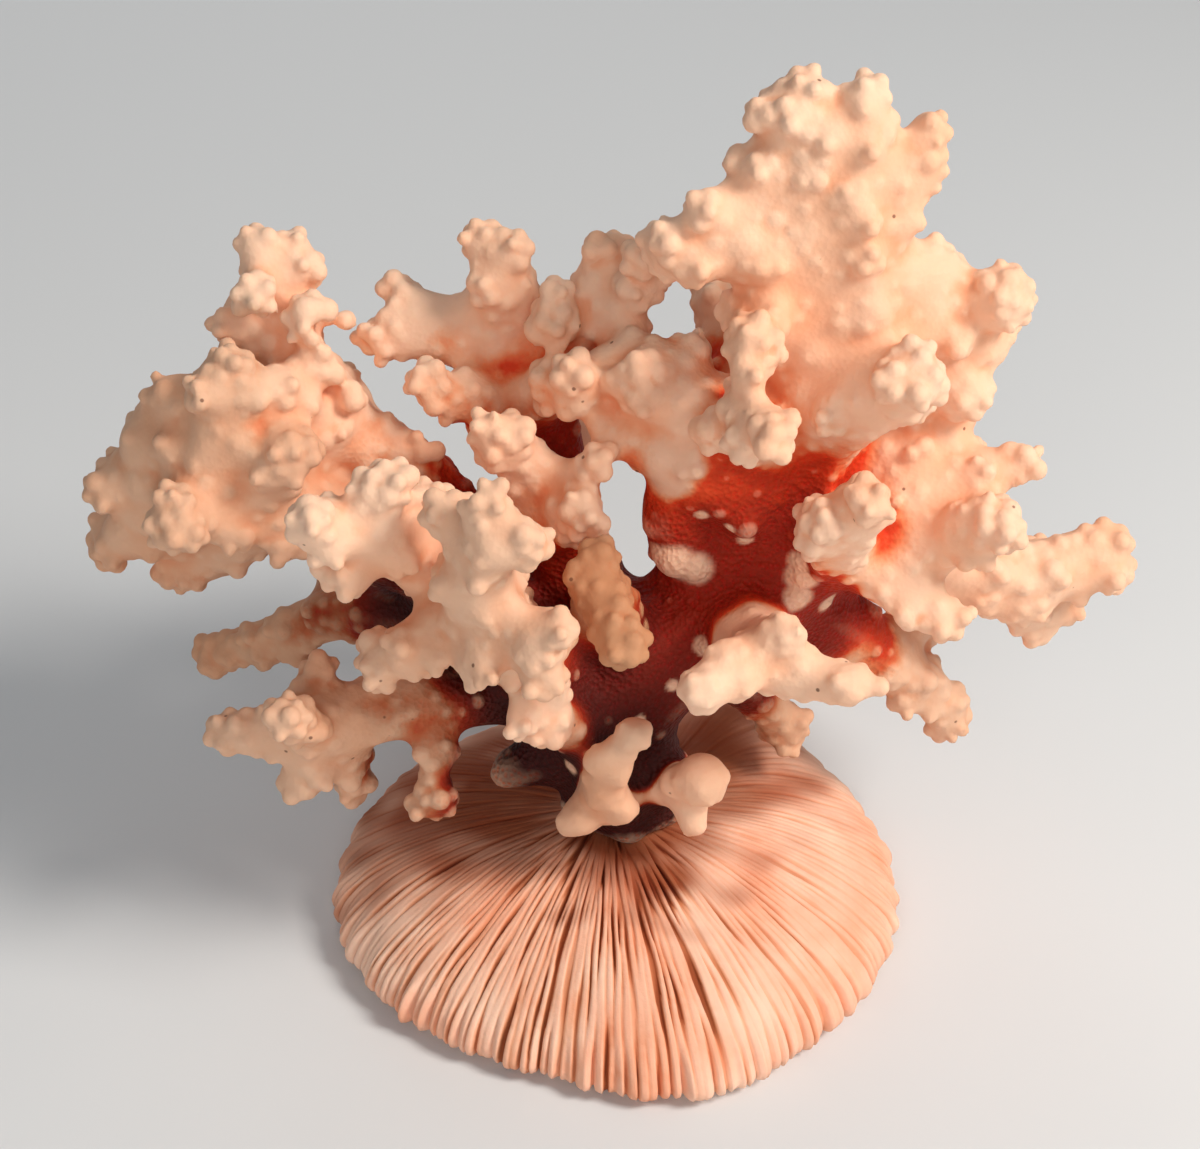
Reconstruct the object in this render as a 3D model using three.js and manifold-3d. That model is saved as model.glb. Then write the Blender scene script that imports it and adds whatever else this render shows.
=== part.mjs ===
// A branching coral skeleton standing on a domed mushroom coral skeleton.
// Millimetres, +Z up, the front of the colony faces -Y, the origin is under the middle of the whole piece.
// The colony grew as one skeleton and is divided here at its main forks, one mesh to a branch.
import * as THREE from "three";
import { mergeVertices } from "three/addons/utils/BufferGeometryUtils.js";
import Module from "manifold-3d";

const wasm = await Module();
wasm.setup();

// Driving dimensions
const baseRadius = 49.8; // mean radius of the mushroom coral
const baseHeight = 23; // top of its dome above the table
const rimBottom = 2.2; // its edge curls clear of the table by this much
const rimTop = 5.8; // upper side of its edge above the table
const restRing = { inner: 0.78, outer: 0.9 }; // the flat ring it stands on, as shares of the radius
const hollowDepth = 8; // rise of the hollow under the dome
const hump = { x: 22, y: 30, height: 8.5, spread: 14 }; // a swelling of the dome, behind and right of the trunk
const baseSides = 32; // facets round the mushroom coral
const jointGap = 0.35; // space left where two pieces meet
const ringSpacing = 24; // distance between a limb's rings
const limbSides = 5; // facets round a limb
const thickLimb = { radius: 7.5, sides: 6 }; // facets round a limb that grows thicker than this radius

// The mushroom coral's outline is nearly round, with a blunt lobe at the front and a flatter stretch left of it.
function baseOutline(angle) {
  const bulge = (middle, spread) => Math.exp(-(((angle - middle) / spread) ** 2));
  return baseRadius + 1.2 * Math.cos(angle) + 3.6 * bulge(-1.26, 0.38) - 2.6 * bulge(-1.95, 0.52);
}

// Height of the dome's top at a share of the radius: a full, rather flat-topped cushion.
function domeHeight(share) {
  const crown = (1 - share ** 2.3) ** 0.72;
  return rimTop + (baseHeight - rimTop) * crown;
}

// What the hump adds to the dome's height at a place.
function humpHeight(x, y) {
  const away = Math.hypot(x - hump.x, y - hump.y) / hump.spread;
  return hump.height * Math.exp(-(away ** 2));
}

// Limbs are lists of [x, y, z, radius]. A branch's limbs start inside the piece that bears it.
const trunkLimbs = [
  [[3, 0, 17, 12], [1, -2, 35, 11.5], [0, -2, 49, 12.5]],
  [[0, -2, 47, 12.5], [14, 4, 60, 12.5], [29, 8, 66, 11]],
  [[0, -2, 47, 12.5], [-12, 4, 56, 10.5], [-23, 8, 63, 7]],
  [[0, 0, 49, 11], [-4, 10, 60, 10], [-9, 17, 71, 7.5]],
  [[14, 4, 58, 11], [21, 9, 74, 10]],
  [[1, -1, 36, 10], [-13, -4, 38, 6], [-18, -5, 34, 4]],
];

const branches = [
  {
    name: "tall_right_branch",
    limbs: [
      [[21, 8, 70, 11], [30, 8, 94, 13], [37, 6, 113, 12.5], [36, 4, 130, 11], [31, 4, 144, 9], [28, 4, 151, 7]],
      [[35, 4, 130, 8], [37, 2, 146, 7], [38, 2, 155, 4]],
      [[37, 4, 125, 8], [43, 4, 139, 6], [47, 4, 146, 4.5]],
      [[37, 4, 121, 9], [47, 5, 127, 7], [52, 6, 124, 5]],
      [[39, 4, 118, 9], [51, 6, 116, 7.5], [60, 8, 112, 5]],
      [[36, 4, 104, 9], [52, 6, 106, 6]],
      [[33, 4, 130, 8], [24, 2, 142, 6.5]],
      [[31, 8, 97, 11], [41, -6, 110, 8], [46, -12, 115, 6]],
      [[34, 4, 124, 8], [22, 0, 132, 7], [10, -2, 133, 5]],
      [[22, 0, 132, 6], [15, -2, 139, 4.5]],
      [[28, 6, 112, 8], [21, -8, 125, 4.5], [21, -15, 118, 4]],
      [[28, 6, 92, 10], [14, 0, 103, 8], [5, 2, 107, 5.5]],
      [[24, 4, 86, 10], [9, 0, 96, 7], [1, 2, 98, 4.5]],
      [[24, 0, 97, 6.5], [18, -19, 114, 4], [24, -25, 113, 3.5]],
      [[36, 6, 112, 9], [40, 22, 118, 7.5], [40, 30, 124, 4.5]],
      [[28, 8, 94, 10], [22, 24, 102, 7], [19, 31, 108, 4.5]],
      [[18, 5, 72, 9], [11.5, 3, 76, 6.5], [10.5, 2, 84, 6.5], [12, 2, 92, 6]],
    ],
  },
  {
    name: "right_crown_branch",
    limbs: [
      [[24, 7, 64, 10.5], [42, 5, 80, 9.5], [56, 2, 89, 8], [67, 2, 92, 3.5]],
      [[44, 7, 83, 8.5], [53, 8, 94, 7], [57, 9, 98, 4.5]],
      [[44, 4, 82, 8.5], [57, -4, 80, 7.5], [61, -8, 87, 5.5]],
      [[40, 0, 76, 7], [51, -8, 72, 5.5], [55, -10, 70, 3.5]],
      [[37, 0, 76, 7], [37, -15, 91, 6.5], [40, -20, 98, 4]],
      [[37, -10, 84, 5.5], [33, -18, 94, 3.5]],
      [[46, 6, 80, 8], [56, 20, 80, 6.5], [61, 27, 80, 4.5]],
    ],
  },
  {
    name: "right_arm_branch",
    limbs: [
      [[42, 8, 70, 7.5], [62, 8, 68, 7.5], [74, 10, 65, 7], [84, 12, 71, 4]],
      [[74, 10, 65, 6.5], [87, 12, 66, 4]],
      [[62, 10, 66, 7.5], [77, 18, 53, 5.5]],
      [[64, 10, 66, 7], [74, 22, 60, 5]],
    ],
  },
  {
    name: "low_right_branch",
    limbs: [
      [[28, 8, 63, 10.5], [44, 12, 50, 6.5], [55, 16, 38, 5.5], [62, 18, 31, 4]],
      [[46, 12, 48, 5.5], [56, 24, 48, 4]],
    ],
  },
  {
    name: "front_spur_branch",
    limbs: [
      [[22, 0, 62, 9], [25, -20, 68, 6.5], [33, -28, 70, 4.5], [43, -32, 71, 2]],
      [[25, -20, 69, 6], [18, -30, 73, 5], [14, -34, 72, 3]],
      [[24, -16, 68, 6], [27, -26, 77, 4.5]],
    ],
  },
  {
    name: "under_right_branch",
    limbs: [[[18, 6, 52, 7.5], [29, 11, 36, 5], [34, 12, 28, 2.5]]],
  },
  {
    name: "upper_middle_branch",
    limbs: [
      [[-7, 15, 66, 7.5], [-12, 22, 86, 8], [-15, 24, 100, 8.5], [-20, 24, 107, 7]],
      [[-15, 24, 101, 7.5], [-17, 22, 114, 6], [-18, 22, 121, 4.5]],
      [[-19, 24, 102, 7.5], [-30, 24, 105, 6.5], [-42, 22, 103, 3.5]],
      [[-23, 24, 104, 6], [-34, 26, 109, 4]],
      [[-12, 22, 90, 7], [-22, 14, 97, 5.5], [-31, 10, 101, 4]],
      [[-14, 22, 97, 7.5], [-4, 20, 108, 7], [0, 20, 121, 4.5]],
      [[-5, 20, 108, 6.5], [4, 14, 114, 4.5], [6, 14, 119, 3]],
      [[-14, 20, 93, 6.5], [-6, 4, 107, 4]],
      [[-14, 24, 97, 7.5], [-12, 36, 96, 6.5], [-11, 43, 98, 4.5]],
    ],
  },
  {
    name: "upper_left_branch",
    limbs: [
      [[-17, 7, 60, 8], [-31, 14, 80, 7.5], [-42, 16, 91, 8], [-52, 16, 111, 6.5], [-56, 16, 122, 4.5]],
      [[-54, 16, 116, 5], [-50, 17, 125, 2.5]],
      [[-46, 16, 103, 7], [-60, 14, 111, 5]],
      [[-42, 16, 90, 7.5], [-51, 6, 98, 6.5], [-55, 2, 105, 4.5]],
      [[-34, 14, 84, 6.5], [-31, 14, 92, 3.5]],
      [[-44, 16, 92, 7], [-48, 28, 93, 5.5], [-51, 34, 92, 4]],
    ],
  },
  {
    name: "left_fan_branch",
    limbs: [
      [[-20, 7, 61, 7], [-43, 6, 76, 7], [-56, 2, 85, 9], [-68, 2, 90, 9.5], [-76, 5, 101, 5.5]],
      [[-60, 2, 90, 8.5], [-63, 0, 103, 7.5], [-61, 0, 109, 5.5]],
      [[-66, 3, 86, 8], [-82, 6, 88, 5]],
      [[-67, 4, 85, 8.5], [-78, 8, 76, 6], [-86, 10, 72, 3.5]],
      [[-60, 6, 78, 7], [-73, 10, 67, 4.5]],
      [[-56, 2, 88, 6.5], [-52, -6, 99, 4]],
      [[-64, 4, 86, 8], [-70, -10, 88, 5]],
      [[-64, 6, 86, 8], [-68, 20, 90, 5.5]],
    ],
  },
  {
    name: "front_left_branch",
    limbs: [
      [[-16, 2, 60, 7.5], [-29, -13, 83, 7], [-38, -22, 94, 6], [-46, -26, 98, 3.5]],
      [[-35, -19, 92, 5.5], [-35, -22, 102, 3.5]],
      [[-29, -13, 84, 5.5], [-29, -16, 96, 4]],
      [[-35, -19, 91, 5.5], [-42, -20, 86, 3.5]],
    ],
  },
  {
    name: "front_middle_branch",
    limbs: [
      [[-8, -4, 54, 8], [-20, -24, 79, 7.5], [-20, -31, 97, 6], [-18, -34, 106, 3.5]],
      [[-20, -30, 93, 5], [-13, -36, 102, 3]],
      [[-20, -28, 90, 4.5], [-26, -28, 102, 3]],
      [[-20, -24, 79, 6.5], [-31, -22, 73, 5.5], [-38, -22, 69, 3.5]],
      [[-20, -26, 78, 6], [-11, -34, 82, 4.5], [-8, -37, 86, 2.5]],
      [[-13, -32, 81, 4], [-12, -36, 76, 2.5]],
      [[-21, -25, 77, 5.5], [-20, -33, 76, 3.5]],
    ],
  },
  {
    name: "centre_branch",
    limbs: [
      [[-4, 4, 62, 8], [-10, 4, 83, 6.5], [-15, 0, 95, 6], [-18, -2, 100, 4]],
      [[-10, 3, 84, 6], [-4, -4, 94, 4], [-1, -6, 98, 2.5]],
      [[-9, 1, 80, 5.5], [-4, -10, 90, 4]],
    ],
  },
  {
    name: "front_drooping_branch",
    limbs: [[[2, -2, 58, 8], [-3, -19, 84, 4.5], [-1, -28, 85, 5.5], [2, -32, 79, 4]]],
  },
  {
    name: "left_arm_branch",
    limbs: [
      [[-10, 2, 52, 8], [-28, 9, 58, 6], [-42, 14, 56, 6], [-56, 20, 47, 4.5], [-74, 26, 36, 2.5]],
      [[-46, 15, 54, 5], [-50, 27, 54, 3.5]],
    ],
  },
  {
    name: "low_left_branch",
    limbs: [
      [[-3, -2, 44, 9], [-19, -4, 51, 6.5], [-42, -14, 53, 6.5], [-53, -14, 50, 6.5], [-63, -14, 49, 3.5]],
      [[-30, -9, 52, 5.5], [-29, -16, 44, 3.5], [-30, -18, 38, 3]],
      [[-43, -13, 51, 6], [-45, -8, 38, 4], [-45, -6, 31, 3]],
      [[-51, -14, 51, 6], [-51, -15, 42, 4.5]],
      [[-50, -13, 52, 5], [-48, -10, 61, 2.5]],
      [[-50, -14, 50, 5], [-51, -26, 61, 4]],
    ],
  },
  {
    name: "front_bud",
    limbs: [
      [[-2, -6, 42, 7], [-10, -19, 56, 4.5], [-15, -24, 60, 3]],
      [[-10, -18, 56, 4], [-8, -22, 64, 2.5]],
    ],
  },
  {
    name: "left_stub",
    limbs: [
      [[3, -4, 31, 7], [-2, -18, 38, 5.5], [0, -24, 50, 4], [4, -26, 59, 3]],
      [[0, -23, 48, 4], [-2, -27, 54, 2.5]],
    ],
  },
  {
    name: "right_stub",
    limbs: [
      [[6, -2, 34, 7], [13, -15, 38, 4.5], [15, -20, 44, 5]],
      [[13, -14, 40, 4.5], [14, -18, 33, 3.5]],
    ],
  },
  {
    name: "back_left_branch",
    limbs: [
      [[-10, 8, 52, 8], [-29, 28, 57, 6.5], [-49, 40, 62, 6], [-60, 46, 67, 4]],
      [[-40, 34, 59, 6], [-40, 46, 68, 4.5]],
      [[-34, 31, 58, 6], [-36, 42, 50, 4]],
    ],
  },
  {
    name: "back_middle_branch",
    limbs: [
      [[-4, 10, 56, 8], [-9, 36, 63, 7], [-8, 50, 75, 6], [-7, 54, 84, 4]],
      [[-8, 42, 68, 6], [-19, 52, 76, 4.5]],
      [[-8, 42, 68, 6], [4, 54, 72, 4.5]],
    ],
  },
  {
    name: "back_right_branch",
    limbs: [
      [[19, 9, 70, 9], [31, 33, 80, 7.5], [40, 45, 86, 6.5], [45, 51, 91, 4]],
      [[32, 35, 82, 7], [27, 48, 88, 5]],
      [[34, 37, 82, 6.5], [48, 40, 82, 4.5]],
    ],
  },
  {
    name: "back_far_right_branch",
    limbs: [
      [[25, 9, 62, 9], [44, 30, 60, 6.5], [57, 40, 58, 5.5], [64, 44, 61, 4]],
      [[48, 33, 60, 6], [56, 34, 68, 4.5]],
      [[48, 33, 60, 6], [50, 46, 54, 4]],
    ],
  },
  {
    name: "back_low_left_branch",
    limbs: [
      [[-4, 4, 42, 8], [-21, 33, 43, 5.5], [-30, 44, 46, 4]],
      [[-18, 29, 43, 5], [-14, 42, 50, 3.5]],
    ],
  },
  {
    name: "back_low_right_branch",
    limbs: [
      [[4, 4, 42, 8], [17, 34, 44, 6], [24, 48, 48, 4]],
      [[15, 30, 44, 5], [28, 34, 38, 3.5]],
    ],
  },
];

// A closed mesh's solid, with its shared vertices merged.
function solidOf(geometry) {
  geometry.deleteAttribute("normal");
  geometry.deleteAttribute("uv");
  const merged = mergeVertices(geometry, 1e-3);
  const mesh = new wasm.Mesh({
    numProp: 3,
    vertProperties: merged.attributes.position.array,
    triVerts: new Uint32Array(merged.index.array),
  });
  return new wasm.Manifold(mesh);
}

// A three.js geometry from a solid.
function geometryOf(solid) {
  const { vertProperties, triVerts } = solid.getMesh();
  const geometry = new THREE.BufferGeometry();
  geometry.setAttribute("position", new THREE.BufferAttribute(vertProperties, 3));
  geometry.setIndex(new THREE.BufferAttribute(triVerts, 1));
  geometry.computeVertexNormals();
  return geometry;
}

// One limb: a round bar along a curve through its points, with its radius flowing from point to point, cut flat
// at its root and rounded at its tip. It is a lathed pod whose rings are carried to their stations on the curve.
function limbSolid(points, extra) {
  const curve = new THREE.CatmullRomCurve3(points.map(([x, y, z]) => new THREE.Vector3(x, y, z)));
  const radii = points.map((point) => point[3] + extra);
  const sides = Math.max(...radii) - extra > thickLimb.radius ? thickLimb.sides : limbSides;
  const bars = Math.max(points.length - 1, Math.round(curve.getLength() / ringSpacing));
  const frames = curve.computeFrenetFrames(bars, false);
  const stations = [{ at: 0, radius: 0, beyond: -extra }];
  for (let index = 0; index <= bars; index++) {
    const along = curve.getUtoTmapping(index / bars) * (points.length - 1);
    const before = Math.min(Math.floor(along), points.length - 2);
    const radius = THREE.MathUtils.lerp(radii[before], radii[before + 1], along - before);
    stations.push({ at: index, radius, beyond: index === 0 ? -extra : 0 });
  }
  const tipRadius = radii.at(-1);
  stations.push({ at: bars, radius: tipRadius * Math.SQRT1_2, beyond: tipRadius * Math.SQRT1_2 });
  stations.push({ at: bars, radius: 0, beyond: tipRadius });

  const profile = stations.map(({ radius }, row) => new THREE.Vector2(radius > 0 ? 1 : 0, row));
  const pod = new THREE.LatheGeometry(profile, sides);
  const position = pod.getAttribute("position");
  const place = new THREE.Vector3();
  for (let i = 0; i < position.count; i++) {
    const { at, radius, beyond } = stations[Math.round(position.getY(i))];
    curve.getPointAt(at / bars, place).addScaledVector(frames.tangents[at], beyond);
    place.addScaledVector(frames.normals[at], position.getX(i) * radius);
    place.addScaledVector(frames.binormals[at], -position.getZ(i) * radius);
    position.setXYZ(i, place.x, place.y, place.z);
  }
  return solidOf(pod);
}

// All of a branch's limbs as one solid. The extra radius makes the clearance that its neighbours are cut by.
function limbsSolid(limbs, extra = 0) {
  return limbs.map((points) => limbSolid(points, extra)).reduce((whole, limb) => whole.add(limb));
}

// The mushroom coral: a lathed cushion with a flat ring to stand on and a shallow hollow inside the ring,
// pushed out to its outline. The lift raises its top, to cut what stands on it clear of it.
function baseSolid(lift = 0) {
  const profile = [];
  for (const share of [0, 0.35, 0.6, restRing.inner]) {
    profile.push(new THREE.Vector2(share, hollowDepth * (1 - (share / restRing.inner) ** 2)));
  }
  profile.push(new THREE.Vector2(restRing.outer, 0));
  profile.push(new THREE.Vector2(1, rimBottom));
  const firstTopRow = profile.length;
  for (const share of [1, 0.97, 0.9, 0.79, 0.64, 0.45, 0.24, 0]) {
    profile.push(new THREE.Vector2(share, domeHeight(share) + lift));
  }
  const cushion = new THREE.LatheGeometry(profile, baseSides);
  const position = cushion.getAttribute("position");
  for (let i = 0; i < position.count; i++) {
    const angle = Math.atan2(-position.getZ(i), position.getX(i));
    const reach = Math.hypot(position.getX(i), position.getZ(i)) * baseOutline(angle);
    const x = reach * Math.cos(angle);
    const y = reach * Math.sin(angle);
    const onTop = i % profile.length >= firstTopRow;
    position.setXYZ(i, x, y, position.getY(i) + (onTop ? humpHeight(x, y) : 0));
  }
  return solidOf(cushion);
}

// The largest body of a solid, so that a cut leaves no loose chips.
function mainBody(solid) {
  const bodies = solid.decompose();
  return bodies.reduce((largest, body) => (body.volume() > largest.volume() ? body : largest));
}

const mushroomMaterial = new THREE.MeshStandardMaterial({ color: 0xf0b593, roughness: 0.85, metalness: 0 });
const trunkMaterial = new THREE.MeshStandardMaterial({ color: 0x7a2d1a, roughness: 0.8, metalness: 0 });
const branchMaterial = new THREE.MeshStandardMaterial({ color: 0xf3c29b, roughness: 0.75, metalness: 0 });

const coral = new THREE.Group();

function addPiece(name, solid, material) {
  const mesh = new THREE.Mesh(geometryOf(solid), material);
  mesh.name = name;
  coral.add(mesh);
}

addPiece("mushroom_coral_base", baseSolid(), mushroomMaterial);
let cutter = baseSolid(jointGap).add(limbsSolid(trunkLimbs, jointGap));
addPiece("trunk", mainBody(limbsSolid(trunkLimbs).subtract(baseSolid(jointGap))), trunkMaterial);
for (const { name, limbs } of branches) {
  addPiece(name, mainBody(limbsSolid(limbs).subtract(cutter)), branchMaterial);
  cutter = cutter.add(limbsSolid(limbs, jointGap));
}

// The frame's origin goes under the middle of the whole piece.
const middle = new THREE.Box3().setFromObject(coral).getCenter(new THREE.Vector3());
coral.position.set(-middle.x, -middle.y, 0);

export default coral;
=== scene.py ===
# A branching coral skeleton on a mushroom coral, worked up from the plain solids of the frame.
# The branches are one skin: the plain solids are melted together, knobs are set all over them, the whole is
# skinned again and then parted at the forks into one piece for each branch.
import itertools
import math

import bmesh
import bpy
import numpy as np
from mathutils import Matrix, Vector


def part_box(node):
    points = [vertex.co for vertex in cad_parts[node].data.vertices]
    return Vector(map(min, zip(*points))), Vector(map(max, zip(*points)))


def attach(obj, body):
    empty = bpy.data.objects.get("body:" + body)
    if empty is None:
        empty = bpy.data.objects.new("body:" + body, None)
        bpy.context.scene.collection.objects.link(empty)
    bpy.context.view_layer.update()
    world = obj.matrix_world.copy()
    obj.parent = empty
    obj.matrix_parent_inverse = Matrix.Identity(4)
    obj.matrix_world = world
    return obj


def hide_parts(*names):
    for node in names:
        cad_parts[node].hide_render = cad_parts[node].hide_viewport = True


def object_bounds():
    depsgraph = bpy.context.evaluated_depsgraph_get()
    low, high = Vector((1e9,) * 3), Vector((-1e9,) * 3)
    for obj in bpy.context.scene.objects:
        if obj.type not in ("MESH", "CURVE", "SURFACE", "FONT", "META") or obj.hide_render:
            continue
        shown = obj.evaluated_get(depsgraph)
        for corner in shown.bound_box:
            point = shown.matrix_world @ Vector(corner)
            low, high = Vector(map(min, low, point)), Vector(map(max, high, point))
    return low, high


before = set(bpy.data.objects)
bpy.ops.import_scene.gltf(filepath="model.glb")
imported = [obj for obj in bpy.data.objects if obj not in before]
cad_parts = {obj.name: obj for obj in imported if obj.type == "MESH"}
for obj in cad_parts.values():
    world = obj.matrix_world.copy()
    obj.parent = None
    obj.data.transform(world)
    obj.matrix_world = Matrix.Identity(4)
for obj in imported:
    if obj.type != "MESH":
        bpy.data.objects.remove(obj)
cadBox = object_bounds()
mm = 0.001
wholeMiddle = (cadBox[0] + cadBox[1]) / 2


# ---------- shared helpers

def linear(hexColour):
    # an sRGB hex colour as linear red, green, blue and alpha
    parts = [int(hexColour[i:i + 2], 16) / 255 for i in (1, 3, 5)]
    return [c / 12.92 if c <= 0.04045 else ((c + 0.055) / 1.055) ** 2.4 for c in parts] + [1.0]


def addNode(tree, kind, inputs=None, **settings):
    # one node with its settings, and its inputs either set or linked
    node = tree.nodes.new(kind)
    for name, value in settings.items():
        setattr(node, name, value)
    for key, value in (inputs or {}).items():
        if isinstance(value, bpy.types.NodeSocket):
            tree.links.new(value, node.inputs[key])
        else:
            node.inputs[key].default_value = value
    return node


def makeObject(name, points, faces):
    # a mesh object from an array of points and an array of faces that all have the same number of corners
    mesh = bpy.data.meshes.new(name)
    corners = faces.shape[1]
    mesh.vertices.add(len(points))
    mesh.vertices.foreach_set("co", np.ascontiguousarray(points, np.float32).ravel())
    mesh.loops.add(faces.size)
    mesh.loops.foreach_set("vertex_index", np.ascontiguousarray(faces, np.int32).ravel())
    mesh.polygons.add(len(faces))
    mesh.polygons.foreach_set("loop_start", np.arange(0, faces.size, corners, dtype=np.int32))
    mesh.update(calc_edges=True)
    mesh.polygons.foreach_set("use_smooth", np.ones(len(faces), bool))
    piece = bpy.data.objects.new(name, mesh)
    bpy.context.scene.collection.objects.link(piece)
    return piece


def readArray(items, field, width, kind=np.float32):
    # one field of all the items as an array, with a row for each item when the field has several numbers
    values = np.empty(len(items) * width, kind)
    items.foreach_get(field, values)
    return values.reshape(-1, width) if width > 1 else values


def discard(piece):
    # removes a helper object and its mesh
    mesh = piece.data
    bpy.data.objects.remove(piece)
    bpy.data.meshes.remove(mesh)


def pointNormals(points, faces):
    # the mean direction of the faces round each point, each face's from the cross product of its diagonals
    a, b, c = points[faces[:, 0]], points[faces[:, 1]], points[faces[:, 2]]
    d = points[faces[:, -1]] if faces.shape[1] == 4 else a
    across = np.cross(c - a, d - b)
    total = scatterSum(faces, np.repeat(across, faces.shape[1], axis=0), len(points))
    return total / np.maximum(np.linalg.norm(total, axis=1, keepdims=True), 1e-12)


def scatterSum(faces, values, count):
    # adds each corner's value to its point
    corner = faces.ravel()
    return np.stack([np.bincount(corner, values[:, k], count) for k in range(values.shape[1])], axis=1)


def relax(values, faces, rounds, strength=1.0):
    # moves each point's value towards the mean of its faces' means, over and over
    corners = faces.shape[1]
    shares = np.maximum(np.bincount(faces.ravel(), minlength=len(values)), 1)[:, None]
    for _ in range(rounds):
        faceMean = values[faces].mean(axis=1)
        mean = scatterSum(faces, np.repeat(faceMean, corners, axis=0), len(values)) / shares
        values = values + strength * (mean - values)
    return values


def smoothStep(low, high, x):
    # 0 up to low, 1 from high on, and 3 t^2 - 2 t^3 between them, where t is the share of the way
    t = np.clip((x - low) / (high - low), 0, 1)
    return t * t * (3 - 2 * t)


def waves(points, wavelength, count, seed):
    # soft noise of about -1 to 1: the mean of sine waves that run in random directions
    draw = np.random.default_rng(seed)
    way = draw.normal(size=(count, 3))
    way *= 2 * math.pi / wavelength / np.linalg.norm(way, axis=1, keepdims=True) * draw.uniform(0.7, 1.4, (count, 1))
    phase = draw.uniform(0, 2 * math.pi, count)
    return np.sin(points @ way.T + phase).sum(axis=1) / math.sqrt(count / 2) / 1.6


def voxelSkin(points, faces, voxel, rounds, strength=1.0):
    # one closed skin of quads round everything the faces enclose, with small inner bubbles left out
    piece = makeObject("skin", points, faces)
    remesh = piece.modifiers.new("skin", "REMESH")
    remesh.mode = "VOXEL"
    remesh.voxel_size = voxel
    shown = piece.evaluated_get(bpy.context.evaluated_depsgraph_get()).data
    points = readArray(shown.vertices, "co", 3)
    faces = readArray(shown.loops, "vertex_index", 1, np.int32).reshape(-1, 4)
    discard(piece)
    points, faces = largestIsland(points, faces)
    return relax(points, faces, rounds, strength), faces


def largestIsland(points, faces):
    # every point takes the lowest number among the points it touches, until each island has one number
    label = np.arange(len(points))
    while True:
        low = np.repeat(label[faces].min(axis=1), faces.shape[1])
        lower = label.copy()
        np.minimum.at(lower, faces.ravel(), low)
        lower = lower[lower]
        if np.array_equal(lower, label):
            break
        label = lower
    biggest = np.bincount(label).argmax()
    return keepFaces(points, faces, label[faces[:, 0]] == biggest)[:2]


def keepFaces(points, faces, wanted):
    # the wanted faces, with their points numbered afresh, and the old numbers of those points
    kept, fresh = np.unique(faces[wanted], return_inverse=True)
    return points[kept], fresh.reshape(-1, faces.shape[1]), kept


def gridCode(x, y, z):
    # one whole number for a cell of a cubic grid, with 13 bits for each of its three numbers
    return (x << 26) + (y << 13) + z


def cellCodes(points, size):
    # the code of the cell each point lies in, counted from 4096 cells below the origin so that none is negative
    return gridCode(*(np.floor(points / size).astype(np.int64) + 4096).T)


def spreadOut(points, spacing, draw):
    # picks points at random that are no nearer each other than the spacing. The points are thinned to one for each
    # small cell; then, over and over, each point that ranks before its undecided neighbours is picked and they go.
    order = draw.permutation(len(points))
    codes, first = np.unique(cellCodes(points[order], spacing / 2), return_index=True)
    chosen = order[first]
    home = points[chosen]
    pairs = []
    for dx, dy, dz in itertools.product(range(-2, 3), repeat=3):
        step = gridCode(dx, dy, dz)
        if step <= 0:
            continue
        there = np.minimum(np.searchsorted(codes, codes + step), len(codes) - 1)
        here = np.flatnonzero(codes[there] == codes + step)
        near = ((home[here] - home[there[here]]) ** 2).sum(axis=1) < spacing ** 2
        pairs.append(np.stack([here, there[here]])[:, near])
    one, other = np.concatenate(pairs, axis=1)
    rank = draw.permutation(len(chosen))
    state = np.zeros(len(chosen), int)   # 0 undecided, 1 picked, -1 left out
    while (state == 0).any():
        undecided = (state[one] == 0) & (state[other] == 0)
        beaten = np.zeros(len(chosen), bool)
        beaten[np.where(rank[one] > rank[other], one, other)[undecided]] = True
        picked = (state == 0) & ~beaten
        state[picked] = 1
        beside = np.concatenate([other[picked[one]], one[picked[other]]])
        state[beside[state[beside] == 0]] = -1
    return chosen[state == 1]


# ---------- the coral's plain core

coral = {
    "coreVoxel": 0.9 * mm,
    "swell": 0.45 * mm,      # closes the gaps between the frame's solids
    "coreRounds": 4,         # rounds of easing that melt the plain limbs together
    "slim": 0.6 * mm,        # taken off the core all round, to make room for the lumps and knobs
    "lumpSpacing": 5.2 * mm,
    "lumpRadius": 3.1 * mm,
    "lumpLean": 0.35,        # how far lumps and knobs lean up and outwards
    "lumpReach": (10 * mm, 30 * mm),   # the distances from the trunk between which lumps reach their full number
    "lobeRounds": 2,         # rounds of easing once the lumps are on, and once the gaps are bored
    "boredRounds": 1,
    "knobSpacing": 2.3 * mm,
    "knobRadius": 1.5 * mm,
    "knobHeight": 1.45 * mm,  # how far a knob on a tip stands out
    "knobLean": 0.4,
    "knobReach": (4 * mm, 20 * mm),    # the distances from the trunk between which the bare heart ends
    "knobSides": 10,         # sides of the lumps and knobs, and of the larger balls
    "ballSides": 14,
    "wartHeight": 0.45,      # how far a wart stands out, as a share of its radius
    "skinVoxel": 0.55 * mm,
    "skinRounds": 1,
    "skinStrength": 0.45,
    "wall": 1.2 * mm,        # each piece's wall, the grid of its inner side and the rings over which it goes in
    "wallCell": 2.4 * mm,
    "wallRings": 5,
    "growthStart": np.array([0.0, 0.0, 45.0]) * mm,   # the branches grow away from here
    "stray": 0.18,           # how much the directions of lumps and knobs differ
    "seed": 11,
}
# branches whose knobs stay low, because they broke or wore smooth: a factor on the knobs' height
smoothBranches = {"trunk": 0.6, "left_stub": 0.5, "right_stub": 0.35, "front_spur_branch": 0.45}
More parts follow.
